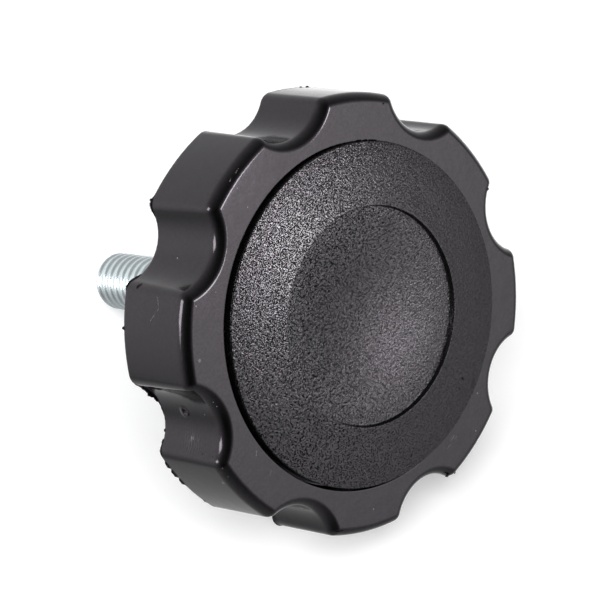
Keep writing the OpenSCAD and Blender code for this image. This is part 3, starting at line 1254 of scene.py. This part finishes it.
@dataclass(frozen=True)
class GrainedPlastic:
    """Black plastic with a fine spark-eroded grain, crisp on one side and rubbed down on the other, with
    painted shade in the grain's valleys and towards the rubbed side.
    """

    knob: Knob
    name: str = "grained_black"
    colour: Colour = (0.003, 0.003, 0.0032)
    worn: Colour = (0.16, 0.14, 0.11)
    sheen: Colour = (0.985, 0.897, 0.995)
    gloss: float = 0.74
    valley_shade: float = 0.95
    valley_shade_range: Pair = (0.41, 0.53)
    glint: float = 0.6
    glint_range: Pair = (0.54, 0.66)
    glint_roughness: float = 0.18
    roughness: Pair = (0.09, 0.3)
    roughness_range: Pair = (0.36, 0.56)
    rubbed_roughness: Pair = (0.09, 0.2)
    grain_mm: float = 0.15
    grain_height_mm: float = 0.044
    grain_detail: float = 0.5
    worn_mm: float = 0.3
    worn_height_mm: float = 0.052
    # The way and the band over which the grain is rubbed and the sheen is darkened, a painted shade.
    rub_and_shade_way: Place = (0.836, -0.549, 0.0)
    rub_and_shade_band_mm: Pair = (-6.0, 14.0)
    least_crisp: float = 0.35
    sheen_shade: float = 0.14
    dish_middle: Place = (0.0, 0.0, 13.5)
    dish_r: float = 13.4
    dish_edge: float = 0.14
    dish_edge_band_mm: Pair = (5.0, 12.5)
    # Dark nicks, painted black.
    nicks_and_shade: tuple[Stroke, ...] = (
        Stroke((-1.1, -19.2, 14.1), (-0.9, -19.0, 14.1), 0.16),
        Stroke((-9.2, -11.4, 14.7), (-9.8, -12.3, 14.5), 0.07),
        Stroke((8.0, -11.6, 14.7), (8.2, -11.8, 14.7), 0.1),
        Stroke((10.3, -14.5, 14.3), (10.5, -14.9, 14.2), 0.16),
        Stroke((9.4, -15.4, 14.3), (9.5, -15.8, 14.2), 0.1),
        Stroke((11.7, -16.6, 14.0), (12.2, -16.0, 14.0), 0.4, 0.5),
    )
    scratches: tuple[Stroke, ...] = (
        Stroke((-8.4, -16.6, 14.2), (-8.4, -17.9, 14.1), 0.05),
        spot(10.5, 16.1, 14.1, 0.12),
        spot(-4.2, 8.6, 13.7, 0.08),
    )

    def dish_shade(self, n: Nodes, where: Socket) -> Socket:
        """Darkens the dish's sheen towards its edge.

        Args:
            n: the material's nodes.
            where: the object's coordinates.

        Returns:
            A mask that is 0 at the dish's middle and outside it, and dish_edge at its edge.
        """
        start, end = self.dish_edge_band_mm
        away = n.vector("DISTANCE", where, self.knob.place(np.array(self.dish_middle)).tolist())
        within = n.math("LESS_THAN", away, self.dish_r * MM)
        return n.math("MULTIPLY", within, n.spread(away, start * MM, end * MM, 0.0, self.dish_edge))

    def material(self) -> Material:
        """Builds the material: rounded grains as bump, with painted shade in their valleys and glints on
        their tops.

        Along one way across the cap the crisp grain gives way to a coarser, rubbed one, and its sheen is
        darkened towards that side as painted shade. Valleys, nicks and the dish's edge are metallic masks:
        over a near-black base they darken the sheen; in the valleys and the nicks this is painted shade. The
        glints are a thin coat.

        Returns:
            The material.
        """
        material, n, shader, where = new_material(self.name)
        grain = n.noise(where, 1.0 / (self.grain_mm * MM), self.grain_detail)
        rubbed = n.noise(where, 1.0 / (self.worn_mm * MM), self.grain_detail)
        across = n.vector("DOT_PRODUCT", where, (self.knob.place(np.array(self.rub_and_shade_way)) / MM).tolist())
        band = [edge * MM for edge in self.rub_and_shade_band_mm]
        crisp = n.spread(across, *band, 1.0, self.least_crisp)
        ratio = self.worn_height_mm / self.grain_height_mm
        share = n.math("MULTIPLY", n.math("SUBTRACT", 1.0, crisp), ratio)
        height = n.math("ADD", n.math("MULTIPLY", grain, crisp), n.math("MULTIPLY", rubbed, share))
        n.feed(shader, "Normal", n.bump(height, 1.0, self.grain_height_mm).outputs[0])
        nick_and_shade = RaggedMarks(self.nicks_and_shade).mask(n, where, self.knob)
        scratch = RaggedMarks(self.scratches).mask(n, where, self.knob)
        bare = n.math("MULTIPLY", scratch, n.math("SUBTRACT", 1.0, nick_and_shade))
        n.feed(shader, "Base Color", n.blend(bare, self.colour, self.worn))
        # Painted shade: the grain's valleys lose their sheen, less so where the grain is rubbed.
        shade = n.math("MULTIPLY", n.spread(grain, *self.valley_shade_range, self.valley_shade, 0.0), crisp)
        dark = n.math("ADD", shade, self.dish_shade(n, where))
        # Painted shade: the sheen darkens across the cap towards the rubbed side.
        sheen_shade = n.math("ADD", dark, n.spread(across, *band, 0.0, self.sheen_shade))
        n.feed(shader, "Metallic", n.math("MAXIMUM", nick_and_shade, sheen_shade))
        tops = n.math("MULTIPLY", n.spread(grain, *self.glint_range, 0.0, self.glint), crisp)
        n.feed(shader, "Coat Weight", tops)
        shader.inputs["Coat Roughness"].default_value = self.glint_roughness
        polish = n.spread(grain, *self.roughness_range, self.roughness[1], self.roughness[0])
        rubbed_polish = n.spread(across, *band, *self.rubbed_roughness)
        n.feed(shader, "Roughness", n.math("MAXIMUM", polish, rubbed_polish))
        shader.inputs["Specular IOR Level"].default_value = self.gloss
        shader.inputs["Specular Tint"].default_value = (*self.sheen, 1.0)
        return material


@dataclass(frozen=True)
class ZincPlate:
    """Bright zinc plating on rolled steel."""

    name: str = "zinc_plate"
    colour: Colour = (0.84, 0.93, 0.96)
    dull: Colour = (0.7, 0.78, 0.81)
    roughness: Pair = (0.22, 0.32)
    cloud_scale: float = 700.0
    cloud_detail: float = 4.0
    cloud_rough: float = 0.6
    mark_scale: float = 5000.0
    mark_strength: float = 0.15
    mark_mm: float = 0.05

    def material(self) -> Material:
        """Builds the material: bluish metal with cloudy plating and fine rolled marks.

        Returns:
            The material.
        """
        material, n, shader, where = new_material(self.name)
        noise = n.noise(where, self.cloud_scale, self.cloud_detail, self.cloud_rough)
        cloud = n.spread(noise, *NOISE_RANGE, 0.0, 1.0)
        n.feed(shader, "Base Color", n.blend(cloud, self.colour, self.dull))
        shader.inputs["Metallic"].default_value = 1.0
        n.feed(shader, "Roughness", n.spread(cloud, 0.0, 1.0, *self.roughness))
        bump = n.bump(n.noise(where, self.mark_scale), self.mark_strength, self.mark_mm)
        n.feed(shader, "Normal", bump.outputs[0])
        return material


def direction(azimuth: float, elevation: float) -> Vector:
    """The way to a place on the sky: azimuth 0 is -y and grows towards +x, both in degrees."""
    a, e = math.radians(azimuth), math.radians(elevation)
    return Vector((math.sin(a) * math.cos(e), -math.cos(a) * math.cos(e), math.sin(e)))


@dataclass(frozen=True)
class Panel:
    """A soft light: a rectangle that faces the knob. One that isn't mirrored lights only dull surfaces."""

    name: str
    azimuth: float
    elevation: float
    distance: float
    size: Pair
    radiance: float
    mirrored: bool = True

    def build(self, aim: Vector) -> Object:
        """Makes the area light, with a power that gives its radiance: power = radiance x area x pi.

        Args:
            aim: the point that it faces.

        Returns:
            The light's object.
        """
        light = bpy.data.lights.new(self.name, "AREA")
        light.shape = "RECTANGLE"
        light.size, light.size_y = self.size
        light.energy = self.radiance * self.size[0] * self.size[1] * math.pi
        lamp = bpy.data.objects.new(self.name, light)
        out = direction(self.azimuth, self.elevation)
        lamp.location = aim + out * self.distance
        lamp.rotation_euler = out.to_track_quat("Z", "Y").to_euler()
        lamp.visible_glossy = self.mirrored
        bpy.context.scene.collection.objects.link(lamp)
        return lamp


@dataclass(frozen=True)
class Glow:
    """A broad patch of light in the surround, or of darkness where its strength is negative."""

    name: str
    azimuth: float
    elevation: float
    tightness: float
    strength: float

    def value(self, n: Nodes, way: Socket) -> Socket:
        """The patch's light: strength x exp(tightness x (cos angle - 1)).

        Args:
            n: the surround's nodes.
            way: the direction that is looked in.

        Returns:
            The light from that direction.
        """
        cosine = n.vector("DOT_PRODUCT", way, direction(self.azimuth, self.elevation))
        fall = n.math("MULTIPLY", n.math("SUBTRACT", cosine, 1.0), self.tightness)
        return n.math("MULTIPLY", n.math("EXPONENT", fall), self.strength)


@dataclass
class Studio:
    """The pale floor, the soft light round the knob and the photograph's camera. Lengths are in metres."""

    floor_z: float
    floor_half: float = 1.6
    floor_points: int = 9
    floor_scale: float = 3.0
    floor_range: Pair = (0.3, 0.7)
    floor_tones: Pair = (0.80, 0.83)
    floor_roughness: float = 0.9
    floor_glow: float = 0.24
    camera_at: Place = (-0.129004, -0.120113, 0.171945)
    camera_azimuth: float = -47.223
    camera_elevation: float = 44.098
    camera_roll: float = 2.553
    camera_clip: Pair = (0.01, 20.0)
    lens: float = 117.2
    sensor: float = 36.0
    panels: tuple[Panel, ...] = (
        Panel("left_softbox", -110.0, 20.0, 0.9, (0.27, 0.35), 8.5),
        Panel("right_softbox", 26.2, 19.5, 0.9, (0.13, 0.22), 16.5),
        Panel("high_front", -52.0, 56.0, 1.0, (0.8, 0.8), 5.0, mirrored=False),
    )
    glows: tuple[Glow, ...] = (
        Glow("back_wall", 180.0, 10.0, 2.0, 0.52),
        Glow("back_floor", 180.0, -30.0, 3.0, 0.52),
        Glow("top_back", 150.0, 60.0, 4.0, 0.13),
        Glow("far_floor", 133.0, -35.0, 12.0, 0.53),
        Glow("right_wall", 95.0, 0.0, 4.0, 0.2),
        Glow("right_floor", 105.0, -30.0, 5.0, 0.72),
        Glow("front_floor", 0.0, -50.0, 3.0, 0.23),
        Glow("left_floor", -70.0, -40.0, 4.0, 0.24),
        Glow("round_left_softbox", -125.0, 10.0, 6.0, 0.89),
        Glow("round_right_softbox", 28.0, 22.0, 12.0, 1.06),
        Glow("below_right_softbox", 29.0, -8.0, 10.0, 0.47),
        Glow("under_right_softbox", 31.0, 8.0, 60.0, 0.9),
        Glow("left_of_right_softbox", 18.0, -4.0, 60.0, 0.45),
        Glow("right_of_right_softbox", 39.0, 9.0, 50.0, 0.55),
        Glow("dark_left", -62.0, -6.0, 8.0, -0.15),
        Glow("behind_table", -140.0, -38.0, 40.0, -0.3),
    )

    def floor_paint(self) -> Material:
        """Makes the floor's matt, slightly uneven pale paint.

        Returns:
            The material.
        """
        material, n, shader, where = new_material("pale_floor")
        tone = n.spread(n.noise(where, self.floor_scale), *self.floor_range, *self.floor_tones)
        n.feed(shader, "Base Color", n.grey(tone))
        shader.inputs["Roughness"].default_value = self.floor_roughness
        shader.inputs["Specular IOR Level"].default_value = 0.0
        shader.inputs["Emission Color"].default_value = (1.0, 1.0, 1.0, 1.0)
        shader.inputs["Emission Strength"].default_value = self.floor_glow
        return material

    def floor(self) -> Object:
        """Makes the floor as one flat grid that lies under the knob and isn't mirrored in it.

        Returns:
            The floor's object.
        """
        s = np.linspace(-self.floor_half, self.floor_half, self.floor_points)
        x, y = np.meshgrid(s, s)
        patch = Patch(np.stack([x, y, np.full(x.shape, self.floor_z)], -1), wraps=False)
        points, corners, _ = patch.arrays(0)
        mesh = bpy.data.meshes.new("floor")
        mesh.from_pydata(points.tolist(), [], corners.reshape(-1, 4).tolist())
        floor = bpy.data.objects.new("floor", mesh)
        bpy.context.scene.collection.objects.link(floor)
        floor.visible_glossy = False
        mesh.materials.append(self.floor_paint())
        floor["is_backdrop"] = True
        return floor

    def camera(self) -> Object:
        """Makes the camera from its place, its direction and its roll.

        Returns:
            The camera's object.
        """
        data = bpy.data.cameras.new("camera")
        data.lens, data.sensor_width = self.lens, self.sensor
        data.clip_start, data.clip_end = self.camera_clip
        camera = bpy.data.objects.new("camera", data)
        out = direction(self.camera_azimuth, self.camera_elevation)
        right = direction(self.camera_azimuth + 90.0, 0.0)
        up = out.cross(right)
        level = Matrix((right, up, out)).transposed().to_4x4()
        roll = Matrix.Rotation(math.radians(self.camera_roll), 4, "Z")
        camera.matrix_world = Matrix.Translation(self.camera_at) @ level @ roll
        bpy.context.scene.collection.objects.link(camera)
        bpy.context.scene.camera = camera
        return camera

    def light(self) -> None:
        """Makes the panels and the surround, which is the sum of its glows."""
        scene = bpy.context.scene
        world = bpy.data.worlds.new("surround")
        world.use_nodes = True
        n = Nodes(world.node_tree)
        way = n.add("ShaderNodeTexCoord").outputs["Generated"]
        total: object = 0.0
        for glow in self.glows:
            total = n.math("ADD", total, glow.value(n, way))
        n.feed(world.node_tree.nodes["Background"], "Color", n.grey(total))
        scene.world = world
        for panel in self.panels:
            panel.build(Vector((0.0, 0.0, 0.0)))
        scene.view_settings.view_transform = "Standard"


def plain(box: Sequence[Vector]) -> list[list[float]]:
    """A box as plain lists of numbers."""
    return [[float(c) for c in corner] for corner in box]


def main() -> None:
    """Builds the pieces, dresses them and sets the stage, with the floor at the bottom of the model's box.
    """
    logging.basicConfig(level=logging.INFO, format="%(name)s: %(message)s")
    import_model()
    cad_box = plain(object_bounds())
    knob = Knob()
    for part in (Moulding(knob), CoverCap(knob), ThreadedStud(knob)):
        node, slot = part.node, part.slot
        piece = part.build()
        part.dress(piece)
        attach(piece, "root")
        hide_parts(node)
        LOG.info("%s stands for %s", piece.name, node)
    studio = Studio(floor_z=cad_box[0][2])
    studio.floor()
    studio.light()
    studio.camera()


if __name__ == "__main__":
    main()
